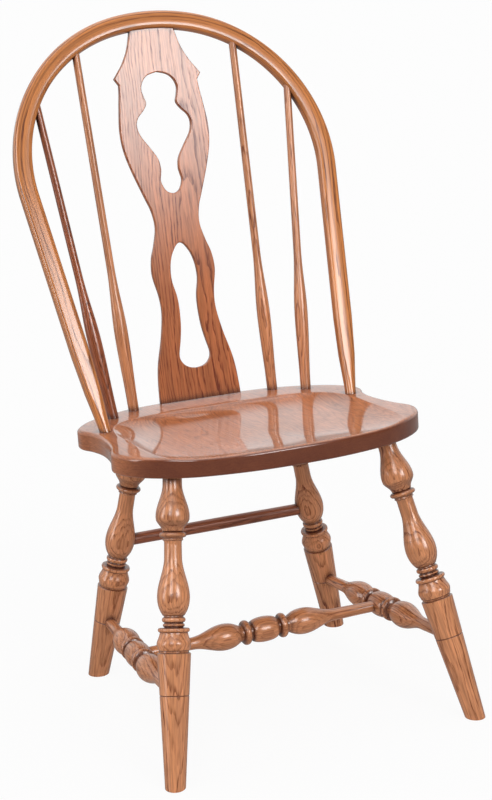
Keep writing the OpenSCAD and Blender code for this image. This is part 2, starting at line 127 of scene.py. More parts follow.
# %% [markdown]
# ## The figure of oak
#
# Oak is ring porous. Each spring the tree lays down a band of wide pores, and each
# summer a band of dense wood. Sawn along the trunk, the bands show as long streaks
# and pointed arches, and a turned bulge cuts them into ovals. A painted pattern
# would have to be drawn for each piece. A solid one is cut by the shape itself, as
# real wood is: the colour depends on the distance from the heart of the tree, and
# each piece only says where in the tree it was sawn.
#
# The group works in millimetres, with the trunk along Z. Rings are 2 to 5 mm wide.
# Real pores are 0.3 mm wide, too fine to show at this size, so they are drawn as
# dashes about 1.3 mm wide and 20 mm long, and whole bands of them break up into
# lengths of about 40 mm. Long pieces draw these marks out further.

# %% The oak's figure, as a group of nodes
figure = bpy.data.node_groups.new("figure of oak", "ShaderNodeTree")
for name, kind, way in (("Place", "NodeSocketVector", "INPUT"), ("Ring width", "NodeSocketFloat", "INPUT"),
                        ("Pores", "NodeSocketFloat", "OUTPUT"), ("Tone", "NodeSocketFloat", "OUTPUT")):
    figure.interface.new_socket(name, in_out=way, socket_type=kind)
place_in = add(figure, "NodeGroupInput", None, "Place")
ring_in = place_in.node.outputs["Ring width"]

# Each noise has a grain that is longer along the trunk: its size across and along in
# millimetres, its detail and its roughness
SIZES = {
    "wander": (60, 190, 2, 0.5),  # the rings' slow drift
    "ripple": (9, 42, 2, 0.6),  # their small waves
    "breaks": (9, 40, 2, 0.5),  # where a band of pores thins out
    "dashes": (1.3, 20, 2, 0.6),  # single pores
    "fibre": (2.6, 110, 3, 0.6),  # fine streaks of tone
    "cloud": (30, 150, 2, 0.5),  # slow changes of tone
}
noise = {}
for name, (across, along, detail, rough) in SIZES.items():
    scaled = add(figure, "VectorMath", {0: place_in, 1: (1 / across, 1 / across, 1 / along)}, operation="MULTIPLY")
    noise[name] = add(figure, "TexNoise", {"Vector": scaled, "Scale": 1.0, "Detail": detail, "Roughness": rough})
print("noises:", ", ".join(SIZES))

# %% The rings
DRIFT, WAVES = 30.0, 5.0  # how far the rings wander and ripple, in mm
OPEN, WIDE, GONE = 0.06, 0.1, 0.55  # shares of a ring by which its pores set in, begin to thin and end
WEAKEST = 0.3  # the pores of the poorest year against those of the best

level = add(figure, "VectorMath", {0: place_in, 1: (1, 1, 0)}, operation="MULTIPLY")
from_heart = add(figure, "VectorMath", {0: level}, "Value", operation="LENGTH")
drifted = add(figure, "Math", {0: noise["wander"], 1: DRIFT, 2: from_heart}, operation="MULTIPLY_ADD")
radius = add(figure, "Math", {0: noise["ripple"], 1: WAVES, 2: drifted}, operation="MULTIPLY_ADD")
years = add(figure, "Math", {0: radius, 1: ring_in}, operation="DIVIDE")
season = add(figure, "Math", {0: years}, operation="FRACT")
year = add(figure, "Math", {0: years}, operation="FLOOR")
vigour = add(figure, "TexWhiteNoise", {"W": year}, noise_dimensions="1D")
opens = add(figure, "MapRange", {0: season, 1: 0.0, 2: OPEN}, **EASED)
closes = add(figure, "MapRange", {0: season, 1: GONE, 2: WIDE}, **EASED)
band = add(figure, "Math", {0: opens, 1: closes}, operation="MULTIPLY")
strong = add(figure, "MapRange", {0: vigour, 1: 0.0, 2: 1.0, 3: WEAKEST, 4: 1.0})
spring = add(figure, "Math", {0: band, 1: strong}, operation="MULTIPLY")
print("rings:", len(figure.nodes), "nodes")

# %% Pores and tone
THINNED = 0.4  # what stays of a band where it breaks
BETWEEN, ON_DASH = 0.55, 1.25  # a band's strength between its dashes and on them
STRAY = 0.12  # the faint dashes of the summer wood
CLOUD_SHARE, FIBRE_SHARE = 0.4, 0.6

# Noise keeps near 0.5, so a narrow range round it gives clear marks
broken = add(figure, "MapRange", {0: noise["breaks"], 1: 0.34, 2: 0.54, 3: THINNED, 4: 1.0}, **EASED)
dashed = add(figure, "MapRange", {0: noise["dashes"], 1: 0.4, 2: 0.6}, **EASED)
inside = add(figure, "MapRange", {0: dashed, 1: 0.0, 2: 1.0, 3: BETWEEN, 4: ON_DASH})
lines = add(figure, "Math", {0: spring, 1: broken}, operation="MULTIPLY")
lines = add(figure, "Math", {0: lines, 1: inside}, operation="MULTIPLY")
pores_out = add(figure, "Math", {0: dashed, 1: STRAY, 2: lines}, operation="MULTIPLY_ADD", use_clamp=True)
fibre = add(figure, "Math", {0: noise["fibre"], 1: FIBRE_SHARE}, operation="MULTIPLY")
tone_out = add(figure, "Math", {0: noise["cloud"], 1: CLOUD_SHARE, 2: fibre}, operation="MULTIPLY_ADD")
add(figure, "NodeGroupOutput", {"Pores": pores_out, "Tone": tone_out})
print("figure of oak:", len(figure.nodes), "nodes")

# %% [markdown]
# ## Stained and lacquered oak
#
# The wood is oak, sawn, bent or turned, then sanded, stained a warm orange brown and
# sprayed with clear lacquer. Stain soaks deepest into the pores and into end grain,
# and it gathers in the turned grooves, so the eye sees dark lines on a lighter
# ground, and each bead outlined. This darkening is also painted shade: in the grooves,
# and in every corner and joint where one part hides another, such as the legs' tops
# under the seat. The sawn boards take more stain than the smooth turned stock, so they
# are darker. Two sticks are darker still: the left outer spindle comes from a darker
# tree, because no two sticks of a real chair match, and the rear stretcher's dark colour
# is painted shade from the seat above it.
#
# The lacquer is a thin smooth film: a coat layer with an IOR near 1.5 over a rougher
# base, and no metal at all. It gives sharp pale highlights. It sinks into open pores
# and is thinner there, so the grain breaks each highlight up. Bare sanded wood has a
# roughness near 0.5, and 0.42 matches this sealed one. The finish could be a picture
# of oak laid on each piece, but a solid pattern meets at every edge.

# %% Stains
# Wood, pores, and the darkest colour, of soaked stain and painted shade, for the sawn splat,
# the seat, the bent bow, the turned stock and the two darker sticks
SAWN = ("#b06639", "#6b2c10", "#3c1508")
SEAT = ("#ae673d", "#562612", "#58220c")
BENT = ("#bf773f", "#632f13", "#44200f")
ROUND = ("#c68459", "#73391e", "#45170a")
# The darker stock: a darker tree for the left outer spindle, and painted shade under the seat for the rear
# stretcher
DARK_STOCK_AND_SHADE = ("#965230", "#562712", "#35150b")
print("stained wood, lightest:", ROUND[0], "darkest:", DARK_STOCK_AND_SHADE[0])

# %% Where stain gathers and shade is painted
SHADE_AND_STAIN_REACH = 0.018  # how near a neighbour darkens a point, as stain in grooves and painted shade in corners and joints, in metres
STARTS, FILLS, FULL_STAIN_AND_SHADE = 0.88, 0.6, 0.95  # openness where the darkening starts and is full, and how much that is
FOOT_LOW, FOOT_HIGH = 0.006, 0.02  # near the floor the darkening is off up to the first height and full from the second, in metres
CROSSES, ACROSS = 0.2, 0.8  # how squarely a face cuts the grain where end grain starts and is whole


def stain_and_painted_shade(tree, grain_axis, soaked):
    """How much darker a point is: stain in grooves and on end grain, and painted shade in grooves, corners and
    where parts meet.
    """
    occlusion = add(tree, "AmbientOcclusion", {"Distance": SHADE_AND_STAIN_REACH}, "AO", samples=6)
    stain_and_shade = add(tree, "MapRange", {0: occlusion, 1: STARTS, 2: FILLS, 3: 0.0, 4: FULL_STAIN_AND_SHADE}, **EASED)
    spot = add(tree, "NewGeometry", None, "Position")
    height = add(tree, "SeparateXYZ", {0: spot}, "Z")
    raised = add(tree, "MapRange", {0: height, 1: FOOT_LOW, 2: FOOT_HIGH})
    stain_and_shade = add(tree, "Math", {0: stain_and_shade, 1: raised}, operation="MULTIPLY")
    if grain_axis is None:
        return stain_and_shade
    normal = add(tree, "NewGeometry", None, "Normal")
    face = add(tree, "VectorMath", {0: normal, 1: grain_axis}, "Value", operation="DOT_PRODUCT")
    facing = add(tree, "Math", {0: face}, operation="ABSOLUTE")
    ends = add(tree, "MapRange", {0: facing, 1: CROSSES, 2: ACROSS, 3: 0.0, 4: soaked}, **EASED)
    return add(tree, "Math", {0: stain_and_shade, 1: ends}, operation="MAXIMUM")


# The same reach sets the painted shade in corners and joints
print("stain gathers within", 1000 * SHADE_AND_STAIN_REACH, "mm")

# %% The finish
TONE_LOW, TONE_HIGH = 0.32, 0.68  # nearly all of the tone's noise lies between these
DULLEST, BRIGHTEST = 0.6, 1.4  # the wood's brightness there
PORE_DEPTH = 0.0003  # in metres
OVER_PORES = 0.6  # what is left of the lacquer's film over a full pore


def oak(name, stock, heart=None, turn=(0, 0, 0), ring=3.2, bold=0.8, bright=1.0, long=1.0,
        grain_axis=None, soaked=0.5, film=0.08):
    """Lacquered oak from a stock's three colours.

    heart is a point on the tree's own axis, in metres, and turn that axis's direction.
    Without them the mesh's layer "grain" says where in the tree each point lay.
    ring is a year's width in mm, bold the pores' strength, bright the wood's brightness,
    and long draws the marks out along the tree. grain_axis is the tree's axis where end
    grain shows, soaked its stain, and film the lacquer's roughness.
    """
    material = bpy.data.materials.new(name)
    tree = empty_tree(material)
    if heart is None:
        in_tree = add(tree, "Attribute", None, "Vector", attribute_name="grain")
    else:
        here = add(tree, "TexCoord", None, "Object")
        in_tree = add(tree, "Mapping", {"Vector": here, "Location": heart, "Rotation": turn,
                                        "Scale": (0.001, 0.001, 0.001 * long)}, vector_type="TEXTURE")
    pores = add(tree, "Group", {"Place": in_tree, "Ring width": ring}, "Pores", node_tree=figure)
    tone = pores.node.outputs["Tone"]
    level = add(tree, "MapRange", {0: tone, 1: TONE_LOW, 2: TONE_HIGH, 3: DULLEST * bright, 4: BRIGHTEST * bright})
    wood = add(tree, "Mix", {0: 1.0, 6: linear(stock[0]), 7: level}, 2, **COLOUR_MIX, blend_type="MULTIPLY")
    share = add(tree, "Math", {0: pores, 1: bold}, operation="MULTIPLY")
    grained = add(tree, "Mix", {0: share, 6: wood, 7: linear(stock[1])}, 2, **COLOUR_MIX)
    # Stain in grooves and on end grain, and painted shade in corners and joints, pull the wood toward the stock's
    # third colour
    stain_and_shade = stain_and_painted_shade(tree, grain_axis, soaked)
    stained = add(tree, "Mix", {0: stain_and_shade, 6: grained, 7: linear(stock[2])}, 2, **COLOUR_MIX)
    relief = add(tree, "Math", {0: 1.0, 1: pores}, operation="SUBTRACT")
    bump = add(tree, "Bump", {"Strength": 0.2, "Distance": PORE_DEPTH, "Height": relief})
    lacquer = add(tree, "MapRange", {0: share, 1: 0.0, 2: 1.0, 3: 1.0, 4: OVER_PORES})
    shader = add(tree, "BsdfPrincipled", {
        "Base Color": stained, "Roughness": 0.42, "IOR": 1.5, "Specular IOR Level": 0.2,
        "Coat Weight": lacquer, "Coat Roughness": film, "Coat IOR": 1.5, "Normal": bump})
    add(tree, "OutputMaterial", {"Surface": shader})
    return material


print("finishes read the figure group:", figure.name)

# %% [markdown]
# ## The chair's own measures
#
# The new surfaces repeat the sizes that the solids were drawn with, so that they fall
# exactly where the solids are. They could be read from the solids' meshes, but a
# drawing's numbers give finer curves. Lengths are in millimetres here, as on the
# drawing, and each mesh is turned to metres when it is made.

# %% The seat's measures
SEAT_H, SEAT_T, SLOPE = 450.8, 31.0, math.radians(3.5)  # deck's height at y = 0, thickness, and fall
HALF_W, FRONT, BACK = 252.0, 245.5, 175.5  # half the width, and the reach to the front and the rear
EDGE_R, BOARD_W = 6.0, 104.0  # the upper edge's rounding, and a board's width
# Half of the outline from front to rear, as shares of the half width and of the reach
SEAT_SHAPE = [(0, -1), (0.254, -0.988), (0.476, -0.947), (0.659, -0.887), (0.825, -0.781), (0.944, -0.648),
              (1, -0.482), (0.952, -0.308), (0.925, -0.142), (0.92, 0), (0.94, 0.172), (0.976, 0.328),
              (0.952, 0.489), (0.821, 0.707), (0.563, 0.908), (0.294, 0.977), (0, 1)]


def rim_z(y):
    """Height of the seat's flat deck, which falls toward the rear."""
    return SEAT_H - math.tan(SLOPE) * y


print("seat rim at the front edge:", round(rim_z(-FRONT), 1), "mm")


# %% Smooth curves
def blend(a, b, c, d, t):
    """A point between b and c, on a smooth curve that also passes a and d."""
    return 0.5 * (2 * b + (c - a) * t + (2 * a - 5 * b + 4 * c - d) * t * t + (3 * b - a - 3 * c + d) * t ** 3)


def curve(points, steps, closed=False):
    """A smooth curve through the points, as rows of coordinates."""
    p = np.array(points, float)
    run = [p[-1], *p, p[0], p[1]] if closed else [p[0], *p, p[-1]]
    rows = [blend(*run[i:i + 4], k / steps) for i in range(len(run) - 3) for k in range(steps)]
    return np.array(rows if closed else rows + [p[-1]])


print("a curve through 3 points in 4 steps:", len(curve([(0, 0), (1, 1), (2, 0)], 4)), "points")

# %% [markdown]
# ## The seat
#
# Five boards are glued edge to edge and then scooped as one, so the saddle runs
# smoothly across the joints. The skin could be sculpted, or bent with modifiers.
# Here it is worked out ring by ring: rings that follow the outline for the rounded
# edges, and rings that close in on the saddle's middle. Then the skin is cut into
# its boards with flat planes, as a saw would.

# %% The seat's outline
half = np.array([[x * HALF_W, y * (FRONT if y < 0 else BACK)] for x, y in SEAT_SHAPE])
around = curve(np.vstack([half, half[-2:0:-1] * [-1, 1]]), 16, closed=True)
ahead, behind = np.roll(around, -1, 0), np.roll(around, 1, 0)
tangent = (ahead - behind) / np.linalg.norm(ahead - behind, axis=1)[:, None]
inward = np.stack([-tangent[:, 1], tangent[:, 0]], 1)
count = len(around)
print("seat outline:", count, "points")

# %% The saddle
SADDLE_DEPTH, SADDLE_SIDE, SADDLE_BACK, SADDLE_FRONT = 12.0, 206.0, 163.0, 186.0
SADDLE_MID = np.array([0, -66.5])
SQUARENESS = 4  # 2 would make its outline an oval
STEEPNESS, REAR_STEEPER = 6, 4  # its wall is steep at the rear and gentle at the front


def saddle(x, y):
    """Depth of the saddle at a point, and how far out the point is, with 1 at the saddle's rim."""
    v = y - SADDLE_MID[1]
    reach = np.where(v < 0, SADDLE_FRONT, SADDLE_BACK)
    share = (np.abs(x / SADDLE_SIDE) ** SQUARENESS + np.abs(v / reach) ** SQUARENESS) ** (1 / SQUARENESS)
    # The 0.001 keeps the angle defined at the saddle's middle
    power = STEEPNESS + REAR_STEEPER * np.sin(np.arctan2(v, np.abs(x) + 0.001))
    return np.where(share < 1, SADDLE_DEPTH * (1 - np.minimum(share, 1) ** power), 0.0), share


def seat_ring(inset, height, scooped):
    """A ring inside the outline, at a height against the deck, and sunk with the saddle if it is scooped."""
    p = around + inward * inset
    return np.column_stack([p, height - (saddle(p[:, 0], p[:, 1])[0] if scooped else 0 * p[:, 0])])


print("saddle's depth at its middle:", float(saddle(*SADDLE_MID)[0]), "mm")

# %% The skin's rings, from the underside to the saddle's middle
UNDER_R = 0.7 * EDGE_R  # the lower edge is rounded less than the upper one
rings = []
under = around + inward * UNDER_R - SADDLE_MID
for share in (0.02, 0.2, 0.4, 0.6, 0.8, 0.93):
    rings.append(np.column_stack([under * share + SADDLE_MID, np.full(count, -SEAT_T)]))
for a in np.radians(np.arange(0, 91, 15)):
    rings.append(seat_ring(UNDER_R * (1 - math.sin(a)), -SEAT_T + UNDER_R * (1 - math.cos(a)), False))
for a in np.radians(np.arange(0, 91, 11.25)):
    rings.append(seat_ring(EDGE_R * (1 - math.cos(a)), -EDGE_R * (1 - math.sin(a)), True))

# The deck's rings start half a millimetre inside the rounded edge
rim = around + inward * (EDGE_R + 0.5) - SADDLE_MID
limit = np.minimum(1, 1 / saddle(*(rim + SADDLE_MID).T)[1])
# Three rings keep the deck flat up to the saddle's rim. Then nine close steps go down its
# wall, and the rest close in on its middle
closing = [1 - (1 - limit) * part - 0.001 * part for part in (0.4, 0.8, 0.97)]
wall = 1 - 0.07 * np.linspace(0, 1, 9) ** 1.3
bowl = np.linspace(0.91, 0.02, 40)
closing += [0.998 * limit * share for share in (*wall, *bowl)]
for share in closing:
    p = rim * share[:, None] + SADDLE_MID
    rings.append(np.column_stack([p, -saddle(p[:, 0], p[:, 1])[0]]))
print("seat skin:", len(rings), "rings")

# %% The skin's faces
skin = np.vstack([*rings, [[*SADDLE_MID, -SEAT_T], [*SADDLE_MID, -SADDLE_DEPTH]]])
low, top = len(skin) - 2, len(skin) - 1
last = (len(rings) - 1) * count
skin_faces = [(r * count + (i + 1) % count, r * count + i, (r + 1) * count + i, (r + 1) * count + (i + 1) % count)
              for r in range(len(rings) - 1) for i in range(count)]
skin_faces += [(low, i, (i + 1) % count) for i in range(count)]
skin_faces += [(top, last + (i + 1) % count, last + i) for i in range(count)]
tilt = np.array([[1, 0, 0], [0, math.cos(SLOPE), math.sin(SLOPE)], [0, -math.sin(SLOPE), math.cos(SLOPE)]])
skin = skin @ tilt.T + [0, 0, SEAT_H]
print("seat skin:", len(skin), "points,", len(skin_faces), "faces")


# %% Sawing a board
def sawn_board(name, left, right):
    """The skin between two upright cuts, each closed with a flat face and a crisp edge."""
    shape = bmesh.new()
    corners = [shape.verts.new(tuple(p / 1000)) for p in skin]
    for face in skin_faces:
        shape.faces.new([corners[k] for k in face])
    for x, keep in ((left, 1), (right, -1)):
        if x is None:
            continue
        cut = bmesh.ops.bisect_plane(shape, geom=shape.verts[:] + shape.edges[:] + shape.faces[:], dist=1e-7,
                                     plane_co=(x / 1000, 0, 0), plane_no=(keep, 0, 0), clear_inner=True)
        cut_edges = [e for e in cut["geom_cut"] if isinstance(e, bmesh.types.BMEdge)]
        bmesh.ops.contextual_create(shape, geom=cut_edges)
        for e in cut_edges:
            e.smooth = False
    bmesh.ops.recalc_face_normals(shape, faces=shape.faces[:])
    for face in shape.faces:
        face.smooth = True
    mesh = bpy.data.meshes.new(name)
    shape.to_mesh(mesh)
    shape.free()
    return mesh


cuts = [BOARD_W * k for k in (-1.5, -0.5, 0.5, 1.5)]
print("cuts at", cuts, "mm")

# %% The seat's boards
# Where each board lay in its tree: the heart's x and z in metres, and a year's width in mm
SEAT_HEARTS = [(-0.235, 0.36, 2.9), (-0.09, 0.30, 3.6), (0.03, 0.37, 3.3), (0.115, 0.32, 3.8), (0.245, 0.34, 3.0)]
APART = 0.13  # each board comes from this much further along its tree, in metres


def piece_for(node, name, mesh, finish):
    """Put a new piece on the chair's one body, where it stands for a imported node."""
    piece = bpy.data.objects.new(name, mesh)
    bpy.context.scene.collection.objects.link(piece)
    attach(piece, "root")
    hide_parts(node)
    piece.data.materials.append(finish)
    return piece


for i, (left, right, (x, z, ring)) in enumerate(zip([None, *cuts], [*cuts, None], SEAT_HEARTS)):
    # The trees ran to the rear, each a little askew, and the boards aren't all of one shade
    turn = (math.radians(90 + 1.2 * (i - 2)), 0, math.radians(0.8 * (2 - i)))
    # The front and rear edges are end grain and take more stain; the high soaked value also paints the shade on the
    # seat's front edge
    finish = oak(f"oak_seat_board_{i + 1}", SEAT, (x, APART * i, z), turn, ring, bold=0.6,
                 bright=0.98 + 0.03 * (i % 2), grain_axis=(0, 1, 0), soaked=0.84)
    mesh = sawn_board(f"seat_board_{i + 1}_scooped", left, right)
    board = piece_for(f"seat_board_{i + 1}", mesh.name, mesh, finish)
    print(board.name, len(mesh.vertices), "points")

# %% [markdown]
# ## The bow
#
# The bow is one long stick, steamed and bent round a form: two straight sides and a
# round arch. Its section is a rectangle with full round corners that thins to a
# round foot. A curve with a bevel object could do this, but a swept mesh can also
# carry the grain: each point keeps its distance along the stick, so that the
# streaks follow the bend as they do in bent wood.

# %% The bow's line
BOW_LEAN, BOW_Y = math.radians(24.9), 27.5  # how far it leans back, and where its feet stand
BOW_HALF, BOW_WIDE, BOW_TOP = 213.0, 261.6, 668.0  # half width at the feet and at most, and its height
CROWN_R, CROWN_HALF = 312.0, math.radians(11.5)  # the flat arc at the top, and half its angle
CROWN_H = BOW_TOP - CROWN_R
SHOULDER_R = (BOW_WIDE - CROWN_R * math.sin(CROWN_HALF)) / (1 - math.sin(CROWN_HALF))
SHOULDER_X = (CROWN_R - SHOULDER_R) * math.sin(CROWN_HALF)
SHOULDER_H = CROWN_H + (CROWN_R - SHOULDER_R) * math.cos(CROWN_HALF)
reach = math.hypot(BOW_HALF - SHOULDER_X, SHOULDER_H)
side_len = math.sqrt(reach ** 2 - SHOULDER_R ** 2)
side_angle = math.atan2(SHOULDER_H, BOW_HALF - SHOULDER_X) - math.acos(SHOULDER_R / reach)
shoulder_turn = math.pi / 2 + side_angle - CROWN_HALF


def bow_place(x, h, depth):
    """A point of the bow's leaning plane, and depth behind it, in the chair's frame."""
    return (x, BOW_Y + h * math.sin(BOW_LEAN) + depth * math.cos(BOW_LEAN),
            rim_z(BOW_Y) + h * math.cos(BOW_LEAN) - depth * math.sin(BOW_LEAN))


print("bow's sides:", round(side_len), "mm, shoulder radius", round(SHOULDER_R), "mm")

# %% Stations along the stick
BOW_TENON, BOW_TAPER = 18.0, 128.0  # the feet's tenons, and the length over which the stick thickens
# Half of the stick, from a foot to the top: its centre, its outward direction and the distance
way = np.array([math.sin(side_angle), math.cos(side_angle)])
distances = [-BOW_TENON, 0, *np.linspace(4, BOW_TAPER, 26), *np.linspace(BOW_TAPER + 10, side_len - 4, 12)]
half_stick = [(np.array([BOW_HALF, 0.0]) + way * d, np.array([way[1], -way[0]]), d) for d in distances]


def bend(middle, radius, first, angle, shares, so_far):
    """Carry the stick round an arc, from its first direction and the distance so far."""
    for t in shares:
        out = np.array([math.cos(first + angle * t), math.sin(first + angle * t)])
        half_stick.append((np.array(middle) + out * radius, out, so_far + radius * angle * t))


bend((SHOULDER_X, SHOULDER_H), SHOULDER_R, -side_angle, shoulder_turn, np.linspace(0, 1, 50), side_len)
bend((0, CROWN_H), CROWN_R, math.pi / 2 - CROWN_HALF, CROWN_HALF, np.linspace(0.1, 1, 10), half_stick[-1][2])
total = 2 * half_stick[-1][2]
stations = half_stick + [(c * [-1, 1], o * [-1, 1], total - d) for c, o, d in half_stick[-2::-1]]
print("bow:", len(stations), "stations, stick length", round(total), "mm")

# %% The bow
BOW_W, BOW_T, BOW_FOOT_D = 29.8, 19.0, 18.4
SECTION = 40  # points round the stick
BOW_IN_TREE = (18, 44)  # from the tree's heart to the stick's centre, in mm
BOW_LONG = 2.5  # how much longer the marks are drawn on this stick


def bow_section(d):
    """Width and thickness at a distance from the seat's rim, and a power: 1 is round, less is squarer."""
    # The foot is round for 8 mm, then six tenths of the change come in the taper's first half
    share = np.interp(d, [8, BOW_TAPER * 0.5, BOW_TAPER], [0, 0.6, 1])
    wide, thick = (BOW_FOOT_D + (full - BOW_FOOT_D) * share for full in (BOW_W, BOW_T))
    return wide, thick, 1 - 0.55 * min(1, share / 0.6)


points, grain = [], []
for middle, out, d in stations:
    wide, thick, power = bow_section(min(d, total - d))
    for k in range(SECTION):
        c, s = math.cos(2 * math.pi * k / SECTION), math.sin(2 * math.pi * k / SECTION)
        u = math.copysign(abs(c) ** power, c) * wide / 2
        v = math.copysign(abs(s) ** power, s) * thick / 2
        points.append(bow_place(*(middle + out * u), v))
        grain.append((u + BOW_IN_TREE[0], v + BOW_IN_TREE[1], d / BOW_LONG))
faces = [(r * SECTION + k, r * SECTION + (k + 1) % SECTION,
          (r + 1) * SECTION + (k + 1) % SECTION, (r + 1) * SECTION + k)
         for r in range(len(stations) - 1) for k in range(SECTION)]
faces += [tuple(range(SECTION))[::-1], tuple(range(len(points) - SECTION, len(points)))]
mesh = bpy.data.meshes.new("bow_bent")
mesh.from_pydata((np.array(points) / 1000).tolist(), [], faces)
mesh.update()
mesh.shade_smooth()
layer = mesh.attributes.new("grain", "FLOAT_VECTOR", "POINT")
layer.data.foreach_set("vector", np.array(grain, np.float32).ravel())
piece_for("bow", "bow_bent", mesh, oak("oak_bent_bow", BENT, ring=4.2, bold=1.0))
print("bow:", len(points), "points")

# %% [markdown]
# ## The splat
#
# The splat is a thin flat board, sawn to the fiddle's outline and pierced twice, with
# its edges rubbed round. It could be a box with its holes cut by boolean modifiers,
# but a flat curve with inner curves makes the board and its holes in one go, and the
# curve's own bevel rounds every edge alike.

# %% The splat's outlines
SPLAT_Y, SPLAT_LEAN, SPLAT_T = 159.2, math.radians(13.25), 8.5
TONGUE, REACH_UP = 10.0, 12.0  # how far it stands in the seat's slot and in the bow's
# Each run gives heights above the seat and half widths, from the foot up
SIDE_RUN = [(-20, 72.4), (0, 71.8), (40, 69.4), (69, 64.9), (107.5, 54.7), (147, 47.7), (177, 48.7), (212, 55.3),
            (240, 53), (263, 45.5), (291, 39), (318, 42), (344.5, 51.4), (389, 67), (424, 75.8), (456, 77.5),
            (491, 73.6), (515, 70.2), (529, 69)]
EAR = (539.5, 76)
NECK_RUN = [(561, 60), (584.5, 47.7), (614.5, 39.3), (640, 36), (668, 34)]
KEYHOLE = [(344.5, 0), (346.5, 7.5), (353, 14), (366, 18.7), (377, 17), (387, 15.7), (404, 18.8), (423.5, 30.6),
           (444, 43.8), (460.5, 47.5), (473, 43.4), (484.5, 32.6), (495.5, 26.4), (508, 29.4), (520, 31.4),
           (532, 27.4), (541.5, 17.5), (546.5, 0)]
BOTTLE = [(52, 0), (54.5, 13), (62, 23), (75, 27.6), (100, 22.3), (123, 18.4), (151, 16.8), (174, 18),
          (200, 23.2), (222, 22.6), (240, 18.2), (251, 12.6), (258, 7.6), (261.4, 3), (261.8, 0)]
# Height up the splat at which it meets the bow's underside
meet = ((BOW_TOP - BOW_W / 2) * math.cos(BOW_LEAN) - (rim_z(SPLAT_Y) - rim_z(BOW_Y))) / math.cos(SPLAT_LEAN)
outer = np.vstack([curve(SIDE_RUN, 8), [EAR], curve(NECK_RUN, 8)])
outer = outer[(outer[:, 0] > -TONGUE) & (outer[:, 0] < meet + REACH_UP)]
outer = np.vstack([[[-TONGUE, 72]], outer, [[meet + REACH_UP, outer[-1, 1]]]])


def whole_outline(run):
    """Both halves of an outline, as points across and up, with those on the middle line only once."""
    mirror = run[::-1] * [1, -1]
    both = np.vstack([run, mirror[1:] if run[-1, 1] == 0 else mirror])
    return (both[:-1] if run[0, 1] == 0 else both)[:, ::-1]


outlines = [whole_outline(run) for run in (outer, curve(KEYHOLE, 8), curve(BOTTLE, 8))]
print("splat's outlines:", [len(outline) for outline in outlines], "points")

# %% The splat
EASE = 1.3  # the edges' rounding, in mm
flat = bpy.data.curves.new("splat_outline", "CURVE")
flat.dimensions, flat.fill_mode = "2D", "BOTH"
flat.extrude = (SPLAT_T / 2 - EASE) / 1000
flat.bevel_depth, flat.bevel_resolution, flat.offset = EASE / 1000, 3, -EASE / 1000
for outline in outlines:
    line = flat.splines.new("POLY")
    line.points.add(len(outline) - 1)
    for point, (x, y) in zip(line.points, outline):
        point.co = (x / 1000, y / 1000, 0, 1)
    line.use_cyclic_u = True
maker = bpy.data.objects.new("splat_outline", flat)
bpy.context.scene.collection.objects.link(maker)
mesh = bpy.data.meshes.new_from_object(maker.evaluated_get(bpy.context.evaluated_depsgraph_get()))
bpy.data.objects.remove(maker)
lean = Matrix.Rotation(math.radians(90) - SPLAT_LEAN, 4, "X")
lean.translation = Vector((0, SPLAT_Y, rim_z(SPLAT_Y))) / 1000
mesh.transform(lean @ Matrix.Translation((0, 0, -SPLAT_T / 2000)))
mesh.materials.clear()
# The board was sawn a little askew to its tree, so that its streaks run out into arches
finish = oak("oak_splat", SAWN, (0.026, 0.197, 0.45), (-SPLAT_LEAN - 0.035, 0.01, 0), 4.4, bold=1.3, long=1.25)
piece_for("splat", "splat_sawn", mesh, finish)
print("splat:", len(mesh.vertices), "points")

# %% [markdown]
# ## Turned pieces
#
# Legs, stretchers and spindles come off a lathe. They could be spun anew from their
# profiles, but their solids already have the right shape, so they stay, with the
# facets of the lathe work smoothed: points that lie on each other are joined, and
# only edges sharper than 35 degrees are kept crisp. Each blank was split along the
# grain, so the tree's axis runs with the piece, and lies well outside it. The marks
# are drawn longer on these slim pieces, and their lacquer is a little less smooth.

# %% Finish of a turned piece
TURNED_LONG = 1.7
CRISP = math.radians(35)


def turned_finish(name, a, b, aside, azimuth, stock=ROUND, ring=3.4, bold=0.8, film=0.2):
    """Finish a piece from a to b, whose tree stood aside of it, at an azimuth from the chair's front."""
    axis = (Vector(b) - Vector(a)).normalized()
    level = Vector((math.sin(math.radians(azimuth)), -math.cos(math.radians(azimuth)), 0))
    heart = Vector(a) / 1000 + (level - axis * level.dot(axis)).normalized() * aside / 1000
    turn = axis.to_track_quat("Z", "Y").to_euler()
    node = nodes[name]
    node.data.materials.clear()
    node.data.materials.append(oak("oak_" + name, stock, heart, turn, ring, bold, long=TURNED_LONG,
                                   grain_axis=tuple(axis), film=film))
    if "custom_normal" in node.data.attributes:
        node.data.attributes.remove(node.data.attributes["custom_normal"])
    node.data.polygons.foreach_set("use_smooth", [True] * len(node.data.polygons))
    node.modifiers.new("join", "WELD").merge_threshold = 1e-6
    node.modifiers.new("crisp", "EDGE_SPLIT").split_angle = CRISP


print("a turned piece's marks are drawn", TURNED_LONG, "times longer")


# %% Where the turned pieces run
def underside(y):
    return rim_z(y) - SEAT_T / math.cos(SLOPE)


def point_on(line, distance):
    """The point on a line from its first end to its second, at a distance from the first."""
    first, second = (Vector(p) for p in line)
    return first + (second - first).normalized() * distance


# The legs' axes, from the seat's underside to the floor
FRONT_LEG = ((175.4, -164.2, underside(-164.2)), (249.4, -306.5, 0))
REAR_LEG = ((135.4, 104.8, underside(104.8)), (219.1, 136.1, 0))
SIDE_DOWN, REAR_DOWN = 326.4, 186.4  # where the side stretchers and the rear one enter, down the legs
MIDDLE_BACK = 2  # the middle stretcher stands this far behind the side ones' middles
side_front, side_rear = point_on(FRONT_LEG, SIDE_DOWN), point_on(REAR_LEG, SIDE_DOWN)
middle_end = point_on((side_rear, side_front), (side_front - side_rear).length / 2 - MIDDLE_BACK)
rear_end = point_on(REAR_LEG, REAR_DOWN)

